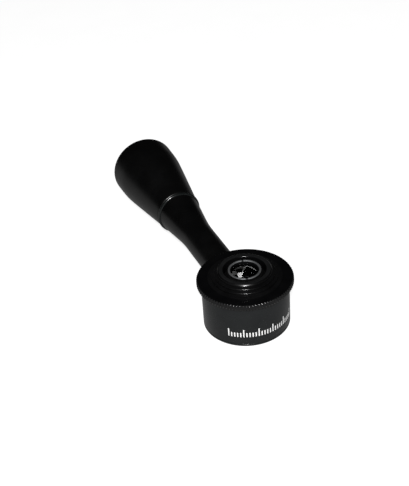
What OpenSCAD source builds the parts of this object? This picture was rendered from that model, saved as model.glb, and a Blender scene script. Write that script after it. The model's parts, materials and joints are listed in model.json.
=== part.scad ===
// Viewing loupe: a short opaque drum that stands on the film, a knurled focusing flange
// with a stepped eyepiece on top, and a flared handle that leaves the drum's side.
// Millimetres. +Z is up along the optical axis, the origin is at the centre of the
// drum's foot, and the handle runs along +Y, tilted up so that its grip just touches
// the surface that the foot stands on.

/* [Drum] */
// Outer radius of the drum
drum_r = 14.5; // [14.4:0.1:15]
// Thickness of the drum's wall
drum_wall = 1.5; // [1.3:0.1:1.8]
// Height of the visible edge of the screwed-in foot ring
foot_h = 1.2; // [1:0.1:1.6]

/* [Focusing flange] */
// Height of the flange's top face above the film
head_h = 17.8; // [17.5:0.1:18.1]
// Radius over the flange's knurling
flange_r = 16; // [15.6:0.1:17]
// Thickness of the flange
flange_t = 2.1; // [2:0.1:2.4]
// Number of knurl ridges round the flange
knurl_count = 96; // [60:1:120]
// Turn of the flange each way from its middle setting, in degrees
focus_turn = 60; // [30:5:60]
// Travel of the lens cell each way over that turn
focus_travel = 1; // [0.5:0.1:1]

/* [Eyepiece] */
// Radius of the lowest step
step_low_r = 12.3; // [11.8:0.1:13]
// Height of the lowest step above the flange
step_low_h = 0.4; // [0.4:0.1:0.7]
// Radius of the middle step
step_mid_r = 11; // [10.7:0.1:11.3]
// Height of the middle step above the flange
step_mid_h = 1.2; // [1:0.1:1.5]
// Radius of the highest step
step_high_r = 10; // [9.8:0.1:10.3]
// Height of the highest step above the flange
step_high_h = 2; // [1.8:0.1:2.2]
// Radius of the rim
rim_r = 9; // [8.8:0.1:9.3]
// Height of the rim above the flange
rim_h = 3.1; // [3:0.05:3.4]
// Radius of the inner edge of the dished top
dish_r = 7; // [6.7:0.1:7.2]
// Height of that inner edge above the flange
dish_h = 2.95; // [2.6:0.05:2.95]
// Height of the bright lens ring above the flange
lens_ring_h = 2.9; // [2.6:0.05:3]
// Outer radius of the bright lens ring
lens_ring_r = 5.45; // [5.35:0.05:5.6]
// Radius of the clear opening in the lens ring
aperture_r = 4.75; // [4.3:0.05:4.85]

/* [Handle] */
// Height of the handle's axis where it crosses the optical axis
handle_h = 9; // [8.8:0.1:9.2]
// Radius of the straight neck
neck_r = 5.65; // [5.4:0.05:5.75]
// Distance along the handle to the end of the straight neck
neck_end = 41; // [38:0.1:45]
// Distance along the handle to the joint between neck and grip
seam_s = 57; // [55:0.1:60]
// Radius of the handle at that joint
seam_r = 8; // [7.8:0.05:8.2]
// Radius of the bead on the collar at that joint
bead_r = 8.3; // [8.25:0.05:8.6]
// Distance along the handle to the end of the grip's cone
grip_s = 83.3; // [80:0.1:87]
// Radius of the grip at the end of its cone
grip_r = 12.2; // [11.5:0.05:12.3]
// Distance along the handle to the grip's widest place
swell_s = 91.4; // [90.5:0.1:95]
// Radius of the grip at its widest place
swell_r = 12.35; // [12.2:0.05:13]
// Radius of the rounding at the end of the grip
end_round = 2.6; // [2:0.1:3.5]

/* [Hidden] */
$fn = 96;
// Faces that would otherwise coincide in a cut are passed by this much
cut = 1;
// Radial clearance of a running fit
run_fit = 0.05;
// Small chamfer on a turned edge
edge = 0.15;

drum_in_r = drum_r - drum_wall;
flange_z = head_h - flange_t;
deck_top = flange_z - 0.2;
deck_t = 1.7;
deck_z = deck_top - deck_t;

// Foot ring and the guide sleeve that it clamps
foot_spigot_h = 3;
foot_in_r = drum_in_r - 0.9;
foot_bevel = 0.5;
sleeve_flange_z = foot_h + foot_spigot_h;
sleeve_flange_t = 1.2;
shoulder_z = sleeve_flange_z + sleeve_flange_t;
shoulder_w = 0.4;
sleeve_r = 8.3;
sleeve_in_r = 7.4;
sleeve_top = head_h - 1.4;

// Drive sleeve that turns round the guide sleeve
drive_in_r = sleeve_r + 0.1;
drive_r = drive_in_r + 1;
drive_z = 8.6;
drive_top = head_h - 0.8;
drive_lead = focus_travel / focus_turn;
keeper_r = 10.8;
keeper_t = 1;
keeper_gap = 0.2;
washer_t = 0.15;
washer_r = drum_r - 0.4;
washer_in_r = 12.6;

// Pins of the lens cell
pin_r = 0.45;
slot_r = 0.6;
pin_z = 11;
pin_count = 3;
drive_pin_angle = 270;

// Stop pin and the groove it runs in
stop_r = 0.6;
stop_track_r = 11.2;
stop_rise = 0.8;
groove_half_w = 0.85;
groove_h = 0.9;
groove_half_angle = focus_turn + asin((stop_r + 0.25) / stop_track_r);

// Lens cell
cell_r = sleeve_in_r - run_fit;
cell_z = 9.5;
cell_shoulder_z = head_h - 2;
cell_bore_r = 6.2;
cell_collar_r = 5.9;
cell_collar_z = head_h + 1.9;
lens_r = 5.05;
lens_ring_t = 1.3;
lens_ring_lip = 0.5;
lens_ring_notch_angle = 72;
lens_ring_top = head_h + lens_ring_h;
eye_seat_z = head_h - 0.2;
eye_edge_t = lens_ring_top - lens_ring_t - eye_seat_z;
eye_curve_r = 16;
field_z = 12.4;
field_edge_t = 2.6;
field_top = field_z + field_edge_t;
field_curve_r = 14;
field_ring_t = 1;
lens_gap = 0.1;

// Handle: tilted so that the end of the grip's cone just touches the film plane
handle_tilt = atan2(grip_r, grip_s) - asin(handle_h / norm([grip_s, grip_r]));
stud_r = 2.5;
stud_start = 10;
stud_end = 24;
rod_r = 2;
rod_start = 47;
rod_end = 87;
thread_bite = 4;
collar_t = 1.2;
collar_s = seam_s - collar_t;
cone_slope = (seam_r - neck_r) / (seam_s - neck_end);
collar_r = neck_r + cone_slope * (collar_s - neck_end);
grip_wall = 2.2;
grip_front_t = 2.7;
grip_end_s = swell_s + end_round;
cap_r = 8.6;
cap_t = 3.2;
cap_seat_s = grip_end_s - cap_t;
cap_dome = 0.7;
cap_screw_s = grip_end_s - 1.4;
grub_s = 19.5;
grub_r = 1.25;

// Ring between two radii, from height z by h
module tube(outer, inner, z, h) {
    translate([0, 0, z]) difference() {
        cylinder(r = outer, h = h);
        translate([0, 0, -cut]) cylinder(r = inner, h = h + 2 * cut);
    }
}

// Ring whose outer edges are chamfered
module turned_tube(outer, inner, z, h, bevel = edge) {
    rotate_extrude() polygon([
        [inner, z], [outer - bevel, z], [outer, z + bevel],
        [outer, z + h - bevel], [outer - bevel, z + h], [inner, z + h]]);
}

// Radial pin at an angle, between two radii
module radial_pin(angle, z, r, from, to) {
    rotate([0, 0, angle]) translate([from, 0, z]) rotate([0, 90, 0]) cylinder(r = r, h = to - from);
}

// Two notches for a pin spanner across the top of a ring
module spanner_notches(r, z, depth, width) {
    translate([-r - cut, -width / 2, z - depth]) cube([2 * (r + cut), width, depth + cut]);
}

// Children drawn along the handle: local +Z runs from the drum out along the grip
module along_handle() {
    translate([0, 0, handle_h]) rotate([handle_tilt - 90, 0, 0]) children();
}

// Points of an arc in a turned profile, from angle a0 to a1
function arc(c, r, a0, a1, steps) =
    [for (i = [0:steps]) let (a = a0 + (a1 - a0) * i / steps) [c[0] + r * cos(a), c[1] + r * sin(a)]];

// Angle of each pin of the lens cell; the first is the drive pin
function pin_angle(i) = drive_pin_angle + i * 360 / pin_count;

// Foot that screws into the drum and clamps the guide sleeve
module base_ring() {
    color("#2a2c2e") rotate_extrude() polygon([
        [foot_in_r, 0], [drum_r - foot_bevel, 0], [drum_r, foot_bevel], [drum_r, foot_h - edge],
        [drum_r - edge, foot_h], [drum_in_r, foot_h], [drum_in_r, sleeve_flange_z],
        [foot_in_r, sleeve_flange_z]]);
}

// Drum: wall, inner shoulder and the deck that the flange turns on
module drum_housing() {
    color("#25282b") difference() {
        rotate_extrude() polygon([
            [drum_in_r, foot_h], [drum_r - edge, foot_h], [drum_r, foot_h + edge],
            [drum_r, deck_top - edge], [drum_r - edge, deck_top], [drive_r + run_fit, deck_top],
            [drive_r + run_fit, deck_z], [drum_in_r - shoulder_w, deck_z],
            [drum_in_r - shoulder_w, shoulder_z], [drum_in_r, shoulder_z]]);
        along_handle() translate([0, 0, stud_start]) cylinder(r = stud_r, h = stud_end - stud_start);
        translate([stop_track_r, 0, deck_z - cut]) cylinder(r = stop_r, h = deck_t + 2 * cut);
    }
}

// Fixed sleeve whose straight slots keep the lens cell from turning
module guide_sleeve() {
    color("#4a4b4d") difference() {
        union() {
            tube(sleeve_r, sleeve_in_r, sleeve_flange_z, sleeve_top - sleeve_flange_z);
            tube(drum_in_r, sleeve_in_r, sleeve_flange_z, sleeve_flange_t);
        }
        for (i = [0:pin_count - 1]) guide_slot(pin_angle(i));
    }
}

// One straight slot with round ends
module guide_slot(angle) {
    reach = focus_travel + 0.1;
    for (dz = [-reach, reach]) radial_pin(angle, pin_z + dz, slot_r, sleeve_in_r - cut, sleeve_r + cut);
    rotate([0, 0, angle]) translate([sleeve_in_r - cut, -slot_r, pin_z - reach])
        cube([sleeve_r - sleeve_in_r + 2 * cut, 2 * slot_r, 2 * reach]);
}

// Fibre washer that gives the flange its stiff, even turn
module damping_washer() {
    color("#6b4f35") tube(washer_r, washer_in_r, deck_top, washer_t);
}

// Pin in the deck that ends the flange's turn
module stop_pin() {
    color("#9a9a98") translate([stop_track_r, 0, deck_z]) cylinder(r = stop_r, h = deck_t + stop_rise);
}

// Star-shaped outline of the knurled edge
module knurl_outline() {
    depth = 0.28;
    polygon([for (i = [0:2 * knurl_count - 1])
        let (r = flange_r - (i % 2) * depth, a = i * 180 / knurl_count) [r * cos(a), r * sin(a)]]);
}

// Knurled flange that is turned to focus
module focus_ring() {
    bevel = 0.25;
    color("#1b1b1c") difference() {
        intersection() {
            translate([0, 0, flange_z]) linear_extrude(height = flange_t) knurl_outline();
            turned_tube(flange_r, drive_in_r, flange_z, flange_t, bevel);
        }
        translate([0, 0, flange_z - cut]) cylinder(r = drive_r, h = drive_top - flange_z + cut);
        rotate([0, 0, -groove_half_angle]) rotate_extrude(angle = 2 * groove_half_angle)
            translate([stop_track_r - groove_half_w, flange_z - cut])
                square([2 * groove_half_w, groove_h + cut]);
    }
}

// Sleeve under the flange, with the helical slot that lifts and lowers the lens cell
module drive_sleeve() {
    step = 3;
    color("#8a7a4c") difference() {
        tube(drive_r, drive_in_r, drive_z, drive_top - drive_z);
        for (a = [-focus_turn - step:step:focus_turn + step])
            radial_pin(drive_pin_angle + a, pin_z - a * drive_lead, slot_r,
                       drive_in_r - cut, drive_r + cut);
    }
}

// Nut below the deck that keeps the flange and its sleeve on the drum
module ring_keeper() {
    color("#8a7a4c") tube(keeper_r, drive_r, deck_z - keeper_gap - keeper_t, keeper_t);
}

// Stepped eyepiece with a dished top
module eyepiece_bezel() {
    spigot_in_r = sleeve_in_r + 0.2;
    spigot_h = 1.1;
    web_t = 0.3;
    rim_w = 0.6;
    rim_bevel = 0.45;
    color("#333436") rotate_extrude() polygon([
        [spigot_in_r, head_h - spigot_h], [drive_in_r, head_h - spigot_h], [drive_in_r, head_h],
        [step_low_r, head_h], [step_low_r, head_h + step_low_h - edge],
        [step_low_r - edge, head_h + step_low_h], [step_mid_r, head_h + step_low_h],
        [step_mid_r, head_h + step_mid_h - edge], [step_mid_r - edge, head_h + step_mid_h],
        [step_high_r, head_h + step_mid_h], [step_high_r, head_h + step_high_h - edge],
        [step_high_r - edge, head_h + step_high_h],
        [rim_r, head_h + step_high_h], [rim_r, head_h + rim_h - rim_bevel],
        [rim_r - rim_bevel, head_h + rim_h], [rim_r - rim_bevel - rim_w, head_h + rim_h],
        [dish_r + edge, head_h + dish_h], [dish_r, head_h + dish_h - edge],
        [dish_r, head_h + web_t], [spigot_in_r, head_h + web_t]]);
}

// Sliding cell that holds both lenses
module lens_barrel() {
    color("#3a3a3c") difference() {
        rotate_extrude() polygon([
            [cell_bore_r, cell_z], [cell_r, cell_z], [cell_r, cell_shoulder_z],
            [cell_collar_r, cell_shoulder_z], [cell_collar_r, cell_collar_z - edge],
            [cell_collar_r - edge, cell_collar_z], [lens_ring_r, cell_collar_z],
            [lens_ring_r, lens_ring_top - lens_ring_lip],
            [lens_r, lens_ring_top - lens_ring_lip], [lens_r, field_top],
            [cell_bore_r, field_top]]);
        for (i = [0:pin_count - 1])
            radial_pin(pin_angle(i), pin_z, pin_r, cell_bore_r - cut, cell_r + cut);
    }
}

// Bright threaded ring that holds the eye lens down
module lens_ring() {
    round_r = 0.25;
    notch = [0.8, 0.3];
    color("#c9cbcd") difference() {
        translate([0, 0, lens_ring_top]) rotate_extrude() polygon(concat(
            [[aperture_r, -lens_ring_t], [lens_r, -lens_ring_t], [lens_r, -lens_ring_lip],
             [lens_ring_r, -lens_ring_lip]],
            arc([lens_ring_r - round_r, -round_r], round_r, 0, 90, 6),
            arc([aperture_r + round_r, -round_r], round_r, 90, 180, 6)));
        rotate([0, 0, lens_ring_notch_angle])
            spanner_notches(lens_ring_r, lens_ring_top, notch[1], notch[0]);
    }
}

// Upper lens, domed on top
module eye_lens() {
    sag = eye_curve_r - sqrt(eye_curve_r * eye_curve_r - lens_r * lens_r);
    color("#cfe0ea", 0.4) intersection() {
        translate([0, 0, eye_seat_z]) cylinder(r = lens_r, h = eye_edge_t + sag);
        translate([0, 0, eye_seat_z + eye_edge_t + sag - eye_curve_r]) sphere(r = eye_curve_r);
        translate([0, 0, eye_seat_z]) union() {
            cylinder(r = lens_r, h = eye_edge_t);
            cylinder(r = aperture_r - lens_gap, h = 2 * eye_edge_t);
        }
    }
}

// Tube that keeps the two lenses apart
module lens_spacer() {
    color("#222222") tube(lens_r, lens_r - 0.5, field_top, eye_seat_z - field_top);
}

// Lower lens, domed towards the upper one
module field_lens() {
    dome_r = lens_r - 0.5 - lens_gap;
    sag = field_curve_r - sqrt(field_curve_r * field_curve_r - dome_r * dome_r);
    color("#cfe0ea", 0.4) union() {
        translate([0, 0, field_z]) cylinder(r = cell_bore_r, h = field_edge_t);
        intersection() {
            translate([0, 0, field_top - cut]) cylinder(r = dome_r, h = cut + sag);
            translate([0, 0, field_top + sag - field_curve_r]) sphere(r = field_curve_r);
        }
    }
}

// Threaded ring below the lower lens
module field_lens_ring() {
    color("#3a3a3c") difference() {
        tube(cell_bore_r, lens_r + 0.1, field_z - field_ring_t, field_ring_t);
        mirror([0, 0, 1]) spanner_notches(cell_bore_r, field_ring_t - field_z, 0.4, 0.8);
    }
}

// Long pin that reaches through the guide sleeve into the helical slot
module drive_pin() {
    color("#b9b9b6") radial_pin(pin_angle(0), pin_z, pin_r, cell_bore_r + 0.1, drive_r - 0.2);
}

// Short pins that only run in the straight slots
module guide_pins() {
    color("#b9b9b6") for (i = [1:pin_count - 1])
        radial_pin(pin_angle(i), pin_z, pin_r, cell_bore_r + 0.1, sleeve_r - 0.1);
}

// Threaded pad inside the drum wall that takes the handle's stud
module socket_nut() {
    half_w = 5;
    color("#9a9a98") difference() {
        intersection() {
            tube(drum_in_r - shoulder_w, drive_r + 0.4, shoulder_z + 0.2,
                 deck_z - keeper_t - 2 * keeper_gap - shoulder_z - 0.2);
            translate([-half_w, 0, 0]) cube([2 * half_w, drum_r, head_h]);
        }
        along_handle() translate([0, 0, stud_start]) cylinder(r = stud_r, h = stud_end);
    }
}

// Stud between the drum and the neck
module neck_stud() {
    color("#9a9a98") along_handle() translate([0, 0, stud_start + 0.2])
        cylinder(r = stud_r, h = stud_end - stud_start - 0.2);
}

// Neck: a straight stem that flares towards the grip
module handle_neck() {
    bend = 1.6;
    color("#1e1f20") difference() {
        along_handle() difference() {
            rotate_extrude() polygon([
                [0, stud_start], [neck_r, stud_start], [neck_r, neck_end - bend],
                [neck_r + cone_slope * bend / 4, neck_end],
                [neck_r + cone_slope * bend, neck_end + bend], [collar_r, collar_s], [0, collar_s]]);
            translate([0, 0, stud_start - cut]) cylinder(r = stud_r, h = stud_end - stud_start + cut);
            translate([0, 0, rod_start]) cylinder(r = rod_r, h = seam_s);
            translate([0, 0, grub_s]) rotate([-90, 0, 0]) cylinder(r = grub_r, h = neck_r + cut);
        }
        translate([0, 0, -cut]) cylinder(r = drum_r, h = head_h + cut);
    }
}

// Grub screw under the neck that locks it on its stud
module neck_grub_screw() {
    socket_r = 0.75;
    sunk = 0.3;
    color("#55565a") along_handle() translate([0, 0, grub_s]) rotate([-90, 0, 0]) difference() {
        translate([0, 0, stud_r]) cylinder(r = grub_r, h = neck_r - sunk - stud_r);
        translate([0, 0, neck_r - sunk - 1.2]) cylinder(r = socket_r, h = 1.2 + cut, $fn = 6);
    }
}

// Beaded collar at the joint between neck and grip
module grip_collar() {
    color("#2b2c2e") along_handle() rotate_extrude() polygon(concat(
        [[rod_r, collar_s], [collar_r, collar_s]],
        arc([bead_r - collar_t / 2, seam_s - collar_t / 2], collar_t / 2, -70, 70, 8),
        [[seam_r - 0.35, seam_s], [rod_r, seam_s]]));
}

// Outside of the grip, from the collar to the edge of the end cap
function grip_profile() = concat(
    [[seam_r - 0.3, seam_s], [seam_r, seam_s + 0.3]],
    [for (k = [-2:2]) let (s = grip_s + k * 1.2) [grip_outline_r(s), s]],
    [[swell_r - 0.02, swell_s - 1]],
    arc([swell_r - end_round, swell_s], end_round, 0, 90, 10),
    [[cap_r, grip_end_s]]);

// Radius of the grip: a cone that rounds over into the swell
function grip_outline_r(s) =
    let (cone = seam_r + (grip_r - seam_r) * (s - seam_s) / (grip_s - seam_s),
         swell = grip_r + (swell_r - grip_r) * (s - grip_s) / (swell_s - grip_s),
         blend = 0.15)
    (cone + swell) / 2 - sqrt(pow((cone - swell) / 2, 2) + blend * blend);

// Hollow grip
module grip_shell() {
    inner_front = seam_s + grip_front_t;
    color("#1a1a1b") along_handle() difference() {
        rotate_extrude() polygon(concat([[rod_r, seam_s]], grip_profile(), [[rod_r, grip_end_s]]));
        rotate_extrude() polygon([
            [0, inner_front], [seam_r - grip_wall + 0.4, inner_front],
            [grip_r - grip_wall, grip_s], [grip_r - grip_wall, cap_seat_s - 2], [cap_r - 0.8, cap_seat_s],
            [0, cap_seat_s]]);
        translate([0, 0, cap_seat_s - cut]) cylinder(r = cap_r - 0.8, h = 2 * cut);
        translate([0, 0, cap_seat_s]) cylinder(r = cap_r, h = cap_t + cut);
    }
}

// Rod that pulls the neck, collar and grip together
module tie_rod() {
    color("#9a9a98") along_handle() difference() {
        translate([0, 0, rod_start]) cylinder(r = rod_r, h = rod_end - rod_start);
        translate([0, 0, rod_end - thread_bite - cut]) cylinder(r = grub_r, h = thread_bite + 2 * cut);
    }
}

// Washer under the nut inside the grip
module rod_washer() {
    color("#9a9a98") along_handle() tube(4.4, rod_r, seam_s + grip_front_t, 0.8);
}

// Nut that clamps the front of the grip against the collar
module rod_nut() {
    across_corners = 4.2;
    nut_h = 2.4;
    color("#9a9a98") along_handle() translate([0, 0, seam_s + grip_front_t + 0.8]) difference() {
        cylinder(r = across_corners, h = nut_h, $fn = 6);
        translate([0, 0, -cut]) cylinder(r = rod_r, h = nut_h + 2 * cut);
    }
}

// Domed cap in the end of the grip
module end_cap() {
    dome_r = (cap_r * cap_r + cap_dome * cap_dome) / (2 * cap_dome);
    bore_r = 2.9;
    boss_r = 5;
    color("#1f2021") along_handle() difference() {
        union() {
            intersection() {
                translate([0, 0, cap_seat_s]) cylinder(r = cap_r, h = cap_t + cap_dome);
                translate([0, 0, grip_end_s + cap_dome - dome_r]) sphere(r = dome_r);
            }
            translate([0, 0, rod_end]) cylinder(r = boss_r, h = cap_seat_s - rod_end);
        }
        translate([0, 0, rod_end - cut]) cylinder(r = grub_r, h = cap_screw_s - rod_end + 2 * cut);
        translate([0, 0, cap_screw_s]) cylinder(r = bore_r, h = cap_t);
    }
}

// Screw in the middle of the cap
module cap_screw() {
    head_r = 2.7;
    head_t = 1.5;
    slot = [0.8, 0.6];
    color("#6a6b6e") along_handle() difference() {
        union() {
            translate([0, 0, cap_screw_s]) cylinder(r = head_r, h = head_t);
            translate([0, 0, rod_end - thread_bite])
                cylinder(r = grub_r, h = cap_screw_s - rod_end + thread_bite);
        }
        translate([-head_r - cut, -slot[0] / 2, cap_screw_s + head_t - slot[1]])
            cube([2 * (head_r + cut), slot[0], slot[1] + cut]);
    }
}

base_ring();
drum_housing();
guide_sleeve();
damping_washer();
stop_pin();
focus_ring();
drive_sleeve();
ring_keeper();
eyepiece_bezel();
lens_barrel();
lens_ring();
eye_lens();
lens_spacer();
field_lens();
field_lens_ring();
drive_pin();
guide_pins();
socket_nut();
neck_stud();
handle_neck();
neck_grub_screw();
grip_collar();
grip_shell();
tie_rod();
rod_washer();
rod_nut();
end_cap();
cap_screw();
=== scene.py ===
import json
import math

import bmesh
import bpy
from mathutils import Matrix, Vector


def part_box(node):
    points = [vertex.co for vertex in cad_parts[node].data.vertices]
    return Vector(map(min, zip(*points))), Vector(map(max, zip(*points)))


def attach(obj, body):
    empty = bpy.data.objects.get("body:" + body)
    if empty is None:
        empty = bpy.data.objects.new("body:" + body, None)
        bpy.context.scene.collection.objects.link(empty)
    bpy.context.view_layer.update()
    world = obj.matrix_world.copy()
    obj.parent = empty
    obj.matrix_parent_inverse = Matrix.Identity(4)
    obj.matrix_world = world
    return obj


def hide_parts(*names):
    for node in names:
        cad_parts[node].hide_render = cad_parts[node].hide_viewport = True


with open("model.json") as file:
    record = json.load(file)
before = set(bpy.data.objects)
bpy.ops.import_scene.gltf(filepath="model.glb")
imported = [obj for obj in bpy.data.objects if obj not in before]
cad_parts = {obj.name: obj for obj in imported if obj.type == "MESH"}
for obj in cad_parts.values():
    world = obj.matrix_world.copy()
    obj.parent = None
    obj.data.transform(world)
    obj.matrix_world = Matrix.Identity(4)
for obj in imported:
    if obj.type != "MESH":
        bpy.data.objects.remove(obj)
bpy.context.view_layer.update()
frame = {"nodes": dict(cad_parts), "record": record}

MM = 0.001

# Sizes in millimetres, read from the frame where a node's box gives them.
FLANGE_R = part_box("focus_ring")[1].x / MM
FLANGE_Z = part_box("focus_ring")[0].z / MM
HEAD_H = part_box("focus_ring")[1].z / MM
DRUM_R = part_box("drum_housing")[1].x / MM
DECK_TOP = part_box("drum_housing")[1].z / MM
FOOT_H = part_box("drum_housing")[0].z / MM
SPIGOT_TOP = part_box("base_ring")[1].z / MM
STEP_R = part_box("eyepiece_bezel")[1].x / MM
RIM_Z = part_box("eyepiece_bezel")[1].z / MM
LENS_RING_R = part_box("lens_ring")[1].x / MM
LENS_RING_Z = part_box("lens_ring")[1].z / MM
LENS_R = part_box("eye_lens")[1].x / MM

DRUM_WALL = 1.5
SLEEVE_BORE = 9.45
SPIGOT_R = 8.4
KNURLS = 96
KNURL_DEPTH = 0.28
STEP_RISES = (0.4, 1.2, 2.0)
APERTURE_R = 4.75
LIP_T = 0.5
NOTCH_ANGLE = math.radians(72)
NOTCH_DEPTH = 0.3
# What two pieces that meet stay clear of each other, so that their faces don't coincide.
CLEAR = 0.02

# Radii of the handle (R) and its stations from the optical axis (S, and NECK_END).
NECK_R = 5.65
NECK_END = 41.0
COLLAR_S = 55.8
SEAM_S = 57.0
SEAM_R = 8.0
BEAD_R = 8.3
GRIP_S = 83.3
GRIP_R = 12.2
SWELL_S = 91.4
SWELL_R = 12.35
END_ROUND = 2.6
GRIP_END = SWELL_S + END_ROUND
CAP_R = 8.6
CAP_T = 3.2
ROD_R = 2.0
# How far neck and collar are drawn in where they meet.
COLLAR_INSET = 0.1
# How far the wall of the collar and the grip is drawn in where they meet.
SEAM_FOLD = 0.35
# How much the handle's wall widens for each millimetre between neck and seam.
FLARE = (SEAM_R - NECK_R) / (SEAM_S - NECK_END)

# Columns round a turned piece: the usual number, and a finer one for broad round edges.
COLUMNS = 192
FINE = 256


def handle_place():
    """The handle's own frame: local Z runs from the optical axis out along the grip."""
    near, far = ((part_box(n)[0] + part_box(n)[1]) / 2 for n in ("neck_stud", "tie_rod"))
    along = (far - near).normalized()
    start = near - along * (near.y / along.y)
    side = Vector((1, 0, 0))
    across = along.cross(side)
    turn = Matrix((side, across, along)).transposed()
    return Matrix.Translation(start) @ turn.to_4x4()


HANDLE = handle_place()


# Meshes -------------------------------------------------------------------------------


def rounded(points, steps=5):
    """A closed outline whose corners (radius, height, rounding) are rounded over."""
    out = []
    for i, (r, z, fillet) in enumerate(points):
        corner = Vector((r, z))
        if not fillet:
            out.append((r, z))
            continue
        before = Vector(points[i - 1][:2]) - corner
        after = Vector(points[(i + 1) % len(points)][:2]) - corner
        reach = min(fillet, 0.49 * before.length, 0.49 * after.length)
        a, b = corner + before.normalized() * reach, corner + after.normalized() * reach
        for k in range(steps + 1):
            t = k / steps
            p = a * (1 - t) ** 2 + corner * (2 * t * (1 - t)) + b * t ** 2
            out.append((p.x, p.y))
    return out


def even(count):
    return [2 * math.pi * k / count for k in range(count)]


def lathe(name, outline, place=Matrix(), angles=None, shape=None, closed=True):
    """Turns an outline of (radius, height) in mm about the local Z axis of place.
    shape(r, z, angle) may move a point, for a knurl, a notch or a saddle."""
    angles = angles or even(COLUMNS)
    bm = bmesh.new()
    columns = []
    for a in angles:
        column = []
        for r, z in outline:
            r2, z2 = shape(r, z, a) if shape else (r, z)
            column.append(bm.verts.new(Vector((r2 * math.cos(a), r2 * math.sin(a), z2)) * MM))
        columns.append(column)
    last = len(outline) if closed else len(outline) - 1
    for k, column in enumerate(columns):
        nxt = columns[(k + 1) % len(columns)]
        for i in range(last):
            j = (i + 1) % len(outline)
            bm.faces.new((column[i], nxt[i], nxt[j], column[j]))
    bmesh.ops.remove_doubles(bm, verts=bm.verts, dist=1e-8)
    bmesh.ops.recalc_face_normals(bm, faces=bm.faces)
    bm.transform(place)
    return add_mesh(name, bm)


def add_mesh(name, bm, sharp=40):
    mesh = bpy.data.meshes.new(name)
    bm.to_mesh(mesh)
    bm.free()
    mesh.shade_smooth()
    mesh.set_sharp_from_angle(angle=math.radians(sharp))
    piece = bpy.data.objects.new(name, mesh)
    bpy.context.scene.collection.objects.link(piece)
    return piece


def fit(piece, body, material, slot, *nodes):
    """Finishes a piece: its material, the body it rides on and what it stands for."""
    piece.data.materials.append(material)
    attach(piece, body)
    if nodes:
        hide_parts(*nodes)
    return piece


def second_finish(piece, material, chosen):
    """Gives the faces that chosen picks a second material."""
    piece.data.materials.append(material)
    for face in piece.data.polygons:
        if chosen(face):
            face.material_index = len(piece.data.materials) - 1


# Materials ----------------------------------------------------------------------------


class Finish:
    """A procedural material: a Principled shader and the nodes that feed it."""

    def __init__(self, name, **sockets):
        self.mat = bpy.data.materials.new(name)
        self.mat.use_nodes = True
        self.tree = self.mat.node_tree
        self.shader = self.tree.nodes["Principled BSDF"]
        for key, value in sockets.items():
            self.shader.inputs[key.replace("_", " ")].default_value = value
        self.point = self.node("ShaderNodeTexCoord").outputs["Object"]

    def node(self, kind, **settings):
        made = self.tree.nodes.new(kind)
        for key, value in settings.items():
            setattr(made, key, value)
        return made

    def link(self, a, b):
        self.tree.links.new(a, b)

    def math(self, operation, a, b=None):
        made = self.node("ShaderNodeMath", operation=operation)
        for slot, value in zip(made.inputs, (a, b)):
            if value is None:
                continue
            if isinstance(value, (int, float)):
                slot.default_value = value
            else:
                self.link(value, slot)
        return made.outputs[0]

    def noise(self, scale, detail=3.0, roughness=0.55, vector=None):
        made = self.node("ShaderNodeTexNoise")
        made.inputs["Scale"].default_value = scale
        made.inputs["Detail"].default_value = detail
        made.inputs["Roughness"].default_value = roughness
        self.link(vector or self.point, made.inputs["Vector"])
        return made.outputs["Fac"]

    def ramp(self, value, low, high, out_low=0.0, out_high=1.0):
        made = self.node("ShaderNodeMapRange", clamp=True)
        for key, number in zip(
            ("From Min", "From Max", "To Min", "To Max"), (low, high, out_low, out_high)
        ):
            made.inputs[key].default_value = number
        self.link(value, made.inputs["Value"])
        return made.outputs["Result"]

    def colours(self, value, *stops):
        made = self.node("ShaderNodeValToRGB")
        ramp = made.color_ramp
        while len(ramp.elements) < len(stops):
            ramp.elements.new(0.5)
        for element, (at, colour) in zip(ramp.elements, stops):
            element.position = at
            element.color = (*colour, 1)
        self.link(value, made.inputs["Fac"])
        return made.outputs["Color"]

    def turned(self, scale):
        """Noise that only changes with radius and height: the marks of a lathe tool."""
        split = self.node("ShaderNodeSeparateXYZ")
        self.link(self.point, split.inputs[0])
        x, y, z = split.outputs
        r = self.math("SQRT", self.math("ADD", self.math("MULTIPLY", x, x), self.math("MULTIPLY", y, y)))
        join = self.node("ShaderNodeCombineXYZ")
        self.link(r, join.inputs[0])
        self.link(z, join.inputs[2])
        return self.noise(scale, 2.0, 0.6, join.outputs[0])

    def bump(self, *layers):
        """Adds (height, distance in metres, strength) layers on top of each other."""
        normal = None
        for height, distance, strength in layers:
            made = self.node("ShaderNodeBump")
            made.inputs["Distance"].default_value = distance
            made.inputs["Strength"].default_value = strength
            self.link(height, made.inputs["Height"])
            if normal:
                self.link(normal, made.inputs["Normal"])
            normal = made.outputs["Normal"]
        self.link(normal, self.shader.inputs["Normal"])

    def feed(self, socket, value):
        self.link(value, self.shader.inputs[socket])


def lacquer(name, dark, light, rough_low, rough_high, peel=0.1, lathe_marks=0.06, shine=0.5):
    """Black enamel on turned metal: mottled, a little orange-peeled, dulled in patches."""
    f = Finish(name, Specular_IOR_Level=shine, IOR=1.5)
    mottle = f.noise(260, 4)
    f.feed("Base Color", f.colours(mottle, (0.3, dark), (0.75, light)))
    haze = f.noise(90, 5, 0.65)
    f.feed("Roughness", f.ramp(haze, 0.3, 0.72, rough_low, rough_high))
    f.bump((f.noise(2600, 2), 0.00002, peel), (f.turned(9000), 0.00001, lathe_marks))
    return f.mat


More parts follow.
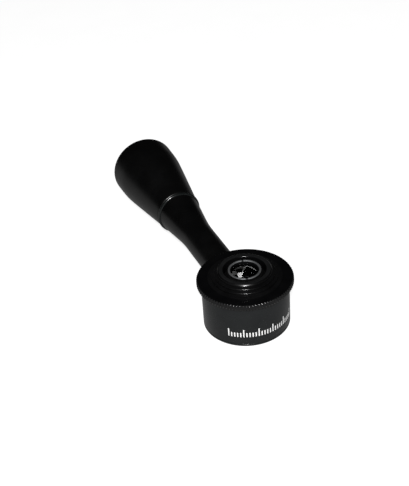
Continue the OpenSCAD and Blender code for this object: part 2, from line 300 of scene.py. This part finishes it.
def moulded(name, dark, light, rough_low, rough_high, grain=0.12):
    """Glossy black moulding with faint flow marks and handling haze."""
    f = Finish(name, Specular_IOR_Level=0.5, IOR=1.5)
    f.feed("Base Color", f.colours(f.noise(140, 4), (0.3, dark), (0.75, light)))
    haze = f.noise(55, 6, 0.68)
    f.feed("Roughness", f.ramp(haze, 0.32, 0.7, rough_low, rough_high))
    f.bump((f.noise(3200, 2), 0.00002, grain), (f.noise(420, 3), 0.00003, 0.05))
    return f.mat


def metal(name, dark, light, rough_low, rough_high, marks=0.35, painted_shade_below=None):
    """Turned bright metal with circular tool marks, and painted shade, near black, below a height in mm.
    """
    f = Finish(name, Metallic=1.0)
    colour = f.colours(f.noise(500, 4), (0.3, dark), (0.8, light))
    # below the given height the metal's own colour gives way to painted shade
    if painted_shade_below:
        blur = 0.04
        split = f.node("ShaderNodeSeparateXYZ")
        f.link(f.point, split.inputs[0])
        out_of_painted_shade = f.ramp(split.outputs[2], (painted_shade_below - blur) * MM, (painted_shade_below + blur) * MM)
        mix = f.node("ShaderNodeMix", data_type="RGBA")
        # of this node's sockets, 6 and 7 are its two colours (6 the near-black painted shade, 7 the
        # metal's own) and output 2 is the result
        mix.inputs[6].default_value = (0.012, 0.012, 0.013, 1)
        f.link(out_of_painted_shade, mix.inputs[0])
        f.link(colour, mix.inputs[7])
        colour = mix.outputs[2]
    f.feed("Base Color", colour)
    f.feed("Roughness", f.ramp(f.turned(12000), 0.3, 0.7, rough_low, rough_high))
    f.bump((f.turned(16000), 0.000008, marks))
    return f.mat


def glass(name, index=1.52):
    """Lens glass with a trace of dust."""
    f = Finish(name, Transmission_Weight=1.0, IOR=index, Base_Color=(0.97, 0.99, 1.0, 1))
    f.feed("Roughness", f.ramp(f.noise(2200, 6, 0.8), 0.7, 0.95, 0.0, 0.05))
    return f.mat


def fibre(name):
    """Oiled hard fibre."""
    f = Finish(name)
    f.feed("Base Color", f.colours(f.noise(900, 5), (0.3, (0.12, 0.07, 0.04)), (0.8, (0.26, 0.16, 0.09))))
    f.feed("Roughness", f.ramp(f.noise(600, 3), 0.3, 0.7, 0.5, 0.75))
    f.bump((f.noise(4000, 3), 0.00003, 0.3))
    return f.mat


def paint(name):
    """White screen-printed ink, slightly worn through."""
    f = Finish(name)
    wear = f.noise(3500, 5, 0.7)
    f.feed("Base Color", f.colours(wear, (0.3, (0.55, 0.56, 0.56)), (0.5, (0.86, 0.86, 0.85))))
    f.feed("Roughness", f.ramp(wear, 0.3, 0.7, 0.55, 0.4))
    f.bump((wear, 0.00001, 0.2))
    return f.mat


def black_finishes():
    """The black finishes, each between a dark and a light colour and two roughnesses."""
    return {
        "drum_black": lacquer(
            "drum_lacquer", (0.004, 0.005, 0.0055), (0.007, 0.008, 0.0085), 0.22, 0.34),
        "satin_black": lacquer(
            "satin_lacquer", (0.003, 0.004, 0.004), (0.006, 0.007, 0.007), 0.18, 0.28),
        "knurled_black": lacquer(
            "flange_lacquer", (0.001, 0.001, 0.0012), (0.002, 0.002, 0.0022), 0.2, 0.3),
        "bezel_black": lacquer(
            "bezel_lacquer", (0.0013, 0.0013, 0.0014), (0.0028, 0.0028, 0.003), 0.17, 0.27),
        "matt_tread": lacquer(
            "matt_tread", (0.0012, 0.0012, 0.0013), (0.0026, 0.0026, 0.0028), 0.5, 0.65, shine=0.1),
        "worn_rim": lacquer(
            "worn_rim", (0.003, 0.0032, 0.0034), (0.006, 0.0062, 0.0064), 0.45, 0.6, shine=0.28),
        "matt_black": lacquer(
            "anti_glare", (0.0008, 0.0008, 0.0008), (0.002, 0.002, 0.002), 0.6, 0.8,
            peel=0.3, lathe_marks=0.3, shine=0.08),
        "handle_black": moulded(
            "neck_moulding", (0.0007, 0.0007, 0.0008), (0.0016, 0.0016, 0.0016), 0.24, 0.36),
        "grip_black": moulded(
            "grip_moulding", (0.0006, 0.0006, 0.0007), (0.0014, 0.0014, 0.0014), 0.26, 0.4),
    }


def other_finishes():
    """Bare metals, glass and fibre."""
    return {
        # the bright ring gets painted shade everywhere below the floor of its notches
        "polished_metal": metal(
            "bright_ring", (0.17, 0.175, 0.18), (0.24, 0.245, 0.25), 0.6, 0.7,
            marks=0.2, painted_shade_below=LENS_RING_Z - NOTCH_DEPTH),
        "coated_glass": glass("coated_glass"),
        "lens_rear": glass("coated_rear", index=1.02),
        "brass": metal("turned_brass", (0.45, 0.33, 0.14), (0.66, 0.52, 0.26), 0.25, 0.45),
        "bright_steel": metal("ground_steel", (0.45, 0.45, 0.45), (0.66, 0.66, 0.65), 0.2, 0.38),
        "plated_steel": metal("zinc_plate", (0.40, 0.41, 0.42), (0.60, 0.61, 0.62), 0.28, 0.45),
        "dark_steel": metal("blackened_steel", (0.05, 0.05, 0.055), (0.13, 0.13, 0.14), 0.3, 0.5),
        "fibre": fibre("hard_fibre"),
    }


# The camera, light and floor ----------------------------------------------------------

CAMERA_TURN = math.radians(21.78)
CAMERA_RISE = math.radians(34.1)
CAMERA_ROLL = math.radians(-4.21)
CAMERA_DISTANCE = 343.99
# Where the flange's centre sits right of and above the middle of the picture, in mm.
FLANGE_RIGHT = 13.16
FLANGE_UP = -10.85
FOCAL_LENGTH = 78.2

# Every lamp stands this far from what it lights, in metres.
LAMP_DISTANCE = 0.8


def make_camera():
    turn, rise = CAMERA_TURN, CAMERA_RISE
    ahead = Vector((math.cos(rise) * math.sin(turn), math.cos(rise) * math.cos(turn), -math.sin(rise)))
    level = Vector((math.cos(turn), -math.sin(turn), 0))
    upright = level.cross(ahead)
    c, s = math.cos(CAMERA_ROLL), math.sin(CAMERA_ROLL)
    right = level * c + upright * s
    up = upright * c - level * s
    flange = Vector((0, 0, HEAD_H))
    at = flange - right * FLANGE_RIGHT - up * FLANGE_UP - ahead * CAMERA_DISTANCE
    camera = bpy.data.objects.new("camera", bpy.data.cameras.new("camera"))
    bpy.context.scene.collection.objects.link(camera)
    camera.data.lens = FOCAL_LENGTH
    camera.data.clip_start = 0.01
    camera.matrix_world = Matrix.Translation(at * MM) @ Matrix((right, up, -ahead)).transposed().to_4x4()
    bpy.context.scene.camera = camera


def toward(azimuth, elevation):
    """A direction away from the object. Azimuth 0 is behind it along +Y, 90 is +X."""
    a, e = math.radians(azimuth), math.radians(elevation)
    return Vector((math.sin(a) * math.cos(e), math.cos(a) * math.cos(e), math.sin(e)))


def area_light(name, away, along, size, power, target=(0, 0.03, 0.01)):
    """A rectangular softbox that faces the object, its first side along a direction."""
    light = bpy.data.lights.new(name, "AREA")
    light.shape = "RECTANGLE"
    light.size, light.size_y = size
    light.energy = power
    lamp = bpy.data.objects.new(name, light)
    bpy.context.scene.collection.objects.link(lamp)
    z = away.normalized()
    x = (along - z * along.dot(z)).normalized()
    turn = Matrix((x, z.cross(x), z)).transposed().to_4x4()
    lamp.matrix_world = Matrix.Translation(Vector(target) + z * LAMP_DISTANCE) @ turn
    return lamp


def make_world():
    world = bpy.data.worlds.new("studio")
    world.use_nodes = True
    world.node_tree.nodes["Background"].inputs["Color"].default_value = (0.006, 0.006, 0.006, 1)
    bpy.context.scene.world = world


def make_floor():
    """A pale floor just under the foot. It gives off light towards the camera only."""
    bm = bmesh.new()
    bmesh.ops.create_grid(bm, x_segments=8, y_segments=8, size=3.0)
    bm.transform(Matrix.Translation((0, 0, -CLEAR * MM)))
    floor = add_mesh("floor", bm)
    f = Finish("pale_floor", Roughness=0.8)
    grain = f.noise(40, 3)
    f.feed("Base Color", f.colours(grain, (0.3, (0.24, 0.24, 0.24)), (0.7, (0.26, 0.26, 0.26))))
    f.shader.inputs["Emission Color"].default_value = (1, 1, 1, 1)
    seen = f.node("ShaderNodeLightPath").outputs["Is Camera Ray"]
    f.feed("Emission Strength", f.math("MULTIPLY", seen, 0.85))
    floor.data.materials.append(f.mat)


# What the eye lens mirrors: a window, two bright edges and two dim patches, each as the
# azimuth and elevation of the middles of two opposite sides, its width and its power.
MIRRORED = [
    ("window", (15, 42), (6.5, 59), 0.115, 0.8),
    ("edge_left", (27.9, 12), (20.1, 41), 0.035, 0.035),
    ("edge_right", (29, 13), (46, 29), 0.12, 0.16),
    ("patch_high", (8, 22), (25, 22), 0.12, 0.016),
    ("patch_low", (4, 28), (5, 45), 0.11, 0.05),
]


def light_lens(piece):
    """Lights that only the eye lens receives."""
    group = bpy.data.collections.new("mirrored_in_lens")
    group.objects.link(piece)
    head = (0, 0, HEAD_H * MM)
    for name, start, end, width, power in MIRRORED:
        a, b = toward(*start) * LAMP_DISTANCE, toward(*end) * LAMP_DISTANCE
        lamp = area_light(name, a + b, b - a, ((b - a).length, width), power, head)
        lamp.light_linking.receiver_collection = group


def make_studio():
    make_camera()
    make_world()
    make_floor()
    area_light("key", toward(204, 42), Vector((1, 0, 0)), (0.1, 0.1), 10.0)
    bpy.context.scene.view_settings.view_transform = "Standard"


# The head -----------------------------------------------------------------------------


def foot_ring(finish):
    """The slim foot, bevelled underneath, with a spigot that goes up into the drum."""
    inner = DRUM_R - DRUM_WALL
    bore = inner - 0.9
    bevel = 0.5
    outline = rounded([
        (bore, 0, 0.15), (DRUM_R - bevel, 0, 0.12), (DRUM_R, bevel, 0.12),
        (DRUM_R, FOOT_H - CLEAR, 0.12), (inner + CLEAR, FOOT_H - CLEAR, 0),
        (inner - CLEAR, SPIGOT_TOP, 0.1), (bore, SPIGOT_TOP, 0.1),
    ])
    fit(lathe("foot_ring", outline), "stand", finish["satin_black"], "satin_black", "base_ring")


def drum(finish):
    """The drum's wall and deck. The wall thickens above the foot ring's spigot."""
    inner = DRUM_R - DRUM_WALL
    thick = inner - 0.4
    deck_z = DECK_TOP - 1.7
    shoulder_z = SPIGOT_TOP + 1.2
    outline = rounded([
        (inner, FOOT_H, 0), (DRUM_R, FOOT_H, 0.16), (DRUM_R, DECK_TOP, 0.2),
        (SLEEVE_BORE, DECK_TOP, 0.1), (SLEEVE_BORE, deck_z, 0.1), (thick, deck_z, 0.3),
        (thick, shoulder_z, 0), (inner, shoulder_z, 0),
    ])
    piece = lathe("drum", outline, angles=even(FINE))
    fit(piece, "stand", finish["drum_black"], "drum_black", "drum_housing")


def flange(finish):
    """The knurled flange. Its edge is drawn in to a valley between each pair of ridges."""
    inside = 9.4
    lip_z = HEAD_H - 0.8
    bevel = 0.3
    rows = 4
    knurled = HEAD_H - FLANGE_Z - 2 * bevel
    side = [(FLANGE_R, FLANGE_Z + bevel + knurled * k / rows) for k in range(rows + 1)]
    outline = (
        [(inside, FLANGE_Z), (FLANGE_R - 0.9, FLANGE_Z), (FLANGE_R - 0.35, FLANGE_Z + 0.02)]
        + side
        + [(FLANGE_R - bevel, HEAD_H - 0.04), (FLANGE_R - 0.42, HEAD_H), (FLANGE_R - 1.4, HEAD_H)]
        + [(SPIGOT_R, HEAD_H), (SPIGOT_R, lip_z), (inside, lip_z)]
    )

    def knurl(r, z, a):
        if r < FLANGE_R - 0.01:
            return r, z
        phase = (a * KNURLS / (2 * math.pi)) % 1.0
        valley = (0.5 + 0.5 * math.cos(2 * math.pi * phase)) ** 0.7
        return r - KNURL_DEPTH * valley, z

    columns_per_ridge = 8
    piece = lathe("knurled_flange", outline, angles=even(KNURLS * columns_per_ridge), shape=knurl)
    fit(piece, "focus_ring", finish["knurled_black"], "knurled_black", "focus_ring")


def bezel(finish):
    """The stepped eyepiece with a dished top."""
    rim_r, high_r, mid_r, dish_r = 9.0, 10.0, 11.0, 7.0
    low_z, mid_z, high_z = (HEAD_H + rise for rise in STEP_RISES)
    dish_z = HEAD_H + 2.95
    rim_bevel, rim_w = 0.45, 0.6
    spigot_in, spigot_z, web_z = 7.6, HEAD_H - 1.1, HEAD_H + 0.3
    outline = rounded([
        (spigot_in, spigot_z, 0.1), (SPIGOT_R, spigot_z, 0.1), (SPIGOT_R, HEAD_H, 0),
        (STEP_R, HEAD_H, 0), (STEP_R, low_z, 0), (mid_r, low_z, 0),
        (mid_r, mid_z, 0.17), (high_r, mid_z, 0), (high_r, high_z, 0.19), (rim_r, high_z, 0),
        (rim_r, RIM_Z - rim_bevel, 0.1), (rim_r - rim_bevel, RIM_Z, 0.2),
        (rim_r - rim_bevel - rim_w, RIM_Z, 0.2),
        (dish_r, dish_z, 0.22), (dish_r, web_z, 0.1), (spigot_in, web_z, 0.1),
    ])
    piece = lathe("stepped_eyepiece", outline, angles=even(FINE))
    fit(piece, "focus_ring", finish["bezel_black"], "bezel_black", "eyepiece_bezel")
    treads = [round(HEAD_H + rise, 3) for rise in STEP_RISES]

    def is_matt(face):
        """The treads, and the whole of the lowest step."""
        z = face.center.z / MM
        return round(z, 3) in treads or z < low_z - 0.01

    def is_worn(face):
        """The rim's top and its slope down to the dish, which have lost their shine."""
        return face.normal.z > 0.97 and dish_r - 0.1 < face.center.xy.length / MM < rim_r - 0.5

    second_finish(piece, finish["matt_tread"], is_matt)
    second_finish(piece, finish["worn_rim"], is_worn)


NOTCHES = (NOTCH_ANGLE, NOTCH_ANGLE + math.pi)


def notched_angles(count, half_width):
    """Even columns plus a close pair at each side of the two notches."""
    step = math.radians(0.05)
    extra = [c + s * (half_width + t) for c in NOTCHES for s in (-1, 1) for t in (0, step)]
    return sorted(a % (2 * math.pi) for a in even(count) + extra)


def retaining_ring(finish):
    """The bright ring that holds the eye lens, with two notches for a pin spanner."""
    notch_width = 0.8
    half = math.asin(notch_width / 2 / LENS_RING_R)
    floor_z = LENS_RING_Z - NOTCH_DEPTH
    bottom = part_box("lens_ring")[0].z / MM
    lip_z = LENS_RING_Z - LIP_T
    outline = rounded([
        (APERTURE_R, bottom, 0.05), (LENS_R, bottom, 0.05), (LENS_R, lip_z, 0),
        (LENS_RING_R, lip_z, 0.05), (LENS_RING_R, LENS_RING_Z, 0.3), (APERTURE_R, LENS_RING_Z, 0.3),
    ])

    def notch(r, z, a):
        inside = min(abs(math.remainder(a - c, 2 * math.pi)) for c in NOTCHES) < half + 1e-6
        return r, min(z, floor_z) if inside else z

    piece = lathe("bright_ring", outline, angles=notched_angles(144, half), shape=notch)
    fit(piece, "lens_cell", finish["polished_metal"], "polished_metal", "lens_ring")


def dome(radius, curve, steps=16):
    """Points of a spherical cap from the axis out to radius, as (r, drop below the top)."""
    return [
        (radius * k / steps, curve - math.sqrt(curve ** 2 - (radius * k / steps) ** 2))
        for k in range(steps + 1)
    ]


def lens(name, node, dome_r, curve, edge_z, finish):
    """A lens with a domed front on a wider edge and a flat, bevelled back."""
    low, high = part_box(node)
    wide, top, bottom = high.x / MM, high.z / MM, low.z / MM
    bevel = 0.15
    front = [(r, top - drop) for r, drop in dome(dome_r, curve)]
    edge = [(dome_r, edge_z), (wide, edge_z), (wide, bottom + bevel), (wide - bevel, bottom)]
    piece = lathe(name, front + edge + [(0, bottom)], closed=False, angles=even(128))
    return fit(piece, "lens_cell", finish["coated_glass"], "coated_glass", node)


def lenses(finish):
    """The eye lens and the lens under it."""
    ring_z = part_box("lens_ring")[0].z / MM
    upper = lens("upper_lens", "eye_lens", APERTURE_R - 0.1, 16, ring_z, finish)
    # every face but the domed front has a coating that hardly reflects
    second_finish(upper, finish["lens_rear"], lambda face: face.normal.z < 0.5)
    light_lens(upper)
    shelf_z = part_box("field_lens")[0].z / MM + 2.6
    lens("lower_lens", "field_lens", LENS_R - 0.6, 14, shelf_z, finish)


def curved_bar(bm, radius, angle, width, low, high, thick=0.02, steps=3):
    """A thin printed bar that follows the drum's wall."""
    half = width / 2 / radius
    rows = []
    for r in (radius, radius + thick):
        rows.append([[
            bm.verts.new(Vector((r * math.cos(a), r * math.sin(a), z)) * MM)
            for a in (angle - half + 2 * half * k / steps for k in range(steps + 1))]
            for z in (low, high)])
    (in_low, in_high), (out_low, out_high) = rows
    for k in range(steps):
        bm.faces.new((out_low[k], out_low[k + 1], out_high[k + 1], out_high[k]))
        bm.faces.new((in_low[k], in_high[k], in_high[k + 1], in_low[k + 1]))
        bm.faces.new((in_low[k], in_low[k + 1], out_low[k + 1], out_low[k]))
        bm.faces.new((in_high[k], out_high[k], out_high[k + 1], in_high[k + 1]))
    for k in (0, steps):
        bm.faces.new((in_low[k], out_low[k], out_high[k], in_high[k]))


SCALE_START = math.radians(221)
SCALE_STEP = 1.0
SCALE_MARKS = 26
SCALE_LOW = 4.1
SCALE_SHORT = 1.7
SCALE_LONG = 3.0
MARK_WIDTH = 0.4
# How far the ink's underside stays clear of the drum.
INK_CLEAR = 0.005


def printed_scale():
    """Plain printed millimetre marks on the drum, every fifth one long."""
    bm = bmesh.new()
    for i in range(SCALE_MARKS):
        height = SCALE_LONG if i % 5 == 0 else SCALE_SHORT
        angle = SCALE_START + i * SCALE_STEP / DRUM_R
        curved_bar(bm, DRUM_R + INK_CLEAR, angle, MARK_WIDTH, SCALE_LOW, SCALE_LOW + height)
    bmesh.ops.recalc_face_normals(bm, faces=bm.faces)
    piece = add_mesh("printed_scale", bm)
    piece.data.materials.append(paint("white_ink"))
    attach(piece, "stand")


# The handle ---------------------------------------------------------------------------


def saddle(r, a):
    """Where a point at radius r and angle a round the handle meets the drum's wall."""
    x, y = r * math.cos(a), r * math.sin(a)
    # local Y points the way the handle's frame was built: across = along x side
    rise = HANDLE.col[1].y * y
    return (math.sqrt(DRUM_R ** 2 - x ** 2) - rise) / HANDLE.col[2].y


def neck(finish):
    """The straight neck, cut to sit on the drum, which bends softly into the flare."""
    bend = 3.5
    start = -1.0
    steps = 10
    curve = []
    for k in range(steps + 1):
        t = k / steps
        s = NECK_END - bend + 2 * bend * t
        curve.append((NECK_R + FLARE * bend * t ** 2, s))
    seated = [(0, start), (NECK_R * 0.5, start), (NECK_R, start)]
    # two rings along the straight part, so that its faces are no longer than they need be
    straight = [(NECK_R, 24), (NECK_R, 33)]
    joined = [(NECK_R + FLARE * (COLLAR_S - NECK_END) - COLLAR_INSET, COLLAR_S), (0, COLLAR_S)]
    outline = seated + straight + curve + joined

    def seat(r, z, a):
        return (r, saddle(r, a)) if z == start else (r, z)

    piece = lathe("neck", outline, HANDLE, shape=seat, closed=False)
    fit(piece, "stand", finish["handle_black"], "handle_black", "handle_neck")


def collar(finish):
    """The beaded collar between neck and grip."""
    base = NECK_R + FLARE * (COLLAR_S - NECK_END) - COLLAR_INSET
    middle = (COLLAR_S + SEAM_S) / 2
    half = (SEAM_S - COLLAR_S) / 2
    bead = [
        (BEAD_R - half + half * math.cos(a), middle + half * math.sin(a))
        for a in (math.radians(-72 + 12 * k) for k in range(13))]
    fold = SEAM_R - SEAM_FOLD
    outline = [(ROD_R, COLLAR_S), (base, COLLAR_S)] + bead + [(fold, SEAM_S), (ROD_R, SEAM_S)]
    fit(lathe("collar", outline, HANDLE), "stand", finish["satin_black"], "satin_black", "grip_collar")


def grip_radius(s):
    """A cone that rounds over into the swell."""
    cone = SEAM_R + (GRIP_R - SEAM_R) * (s - SEAM_S) / (GRIP_S - SEAM_S)
    swell = GRIP_R + (SWELL_R - GRIP_R) * (s - GRIP_S) / (SWELL_S - GRIP_S)
    softness = 0.15
    return (cone + swell) / 2 - math.hypot((cone - swell) / 2, softness)


def grip(finish):
    """The flared grip with its rounded end and the seat of the cap."""
    first = SEAM_S + SEAM_FOLD
    count = 40
    stations = [first + (SWELL_S - first) * k / count for k in range(count + 1)]
    wall = [(grip_radius(s), s) for s in stations]
    turn = [
        (SWELL_R - END_ROUND + END_ROUND * math.cos(a), SWELL_S + END_ROUND * math.sin(a))
        for a in (math.radians(9 * k) for k in range(1, 11))]
    edge = 0.1
    front = [(ROD_R, SEAM_S), (SEAM_R - SEAM_FOLD, SEAM_S), (SEAM_R - 0.12, SEAM_S + 0.08)]
    mouth = [(CAP_R + edge, GRIP_END), (CAP_R, GRIP_END - edge)]
    seat = [(CAP_R, GRIP_END - CAP_T), (ROD_R, GRIP_END - CAP_T)]
    outline = front + wall + turn + mouth + seat
    piece = lathe("grip", outline, HANDLE, angles=even(FINE))
    fit(piece, "stand", finish["grip_black"], "grip_black", "grip_shell")


def cap(finish):
    """The domed end cap, with a pocket for the head of its screw."""
    rise = 0.7
    curve = (CAP_R ** 2 + rise ** 2) / (2 * rise)
    bore = 2.9
    floor = GRIP_END - 1.4
    edge = 0.1
    rim = CAP_R - 0.05
    top = GRIP_END + rise
    face = [(r, top - drop) for r, drop in dome(CAP_R - 0.2, curve, 20) if r > bore + 2 * edge]
    pocket = [(0, floor), (bore - edge, floor), (bore, floor + edge), (bore, face[0][1] - 0.15)]
    back = GRIP_END - CAP_T + edge
    outline = pocket + face + [(rim, GRIP_END - edge), (rim, back), (0, back)]
    piece = lathe("grip_cap", outline, HANDLE, closed=False)
    fit(piece, "stand", finish["grip_black"], "grip_black", "end_cap")


def paint_cad_nodes(finish):
    """Gives every CAD node that still shows the finish of its slot."""
    slots = {s["node"]: s["material_slot"] for s in frame["record"]["subparts"]}
    for name, node in frame["nodes"].items():
        node.data.materials.clear()
        node.data.materials.append(finish[slots[name]])
        node.data.shade_smooth()
        node.data.set_sharp_from_angle(angle=math.radians(30))


make_studio()
finish = {**black_finishes(), **other_finishes()}
paint_cad_nodes(finish)
foot_ring(finish)
drum(finish)
flange(finish)
bezel(finish)
retaining_ring(finish)
lenses(finish)
printed_scale()
neck(finish)
collar(finish)
grip(finish)
cap(finish)
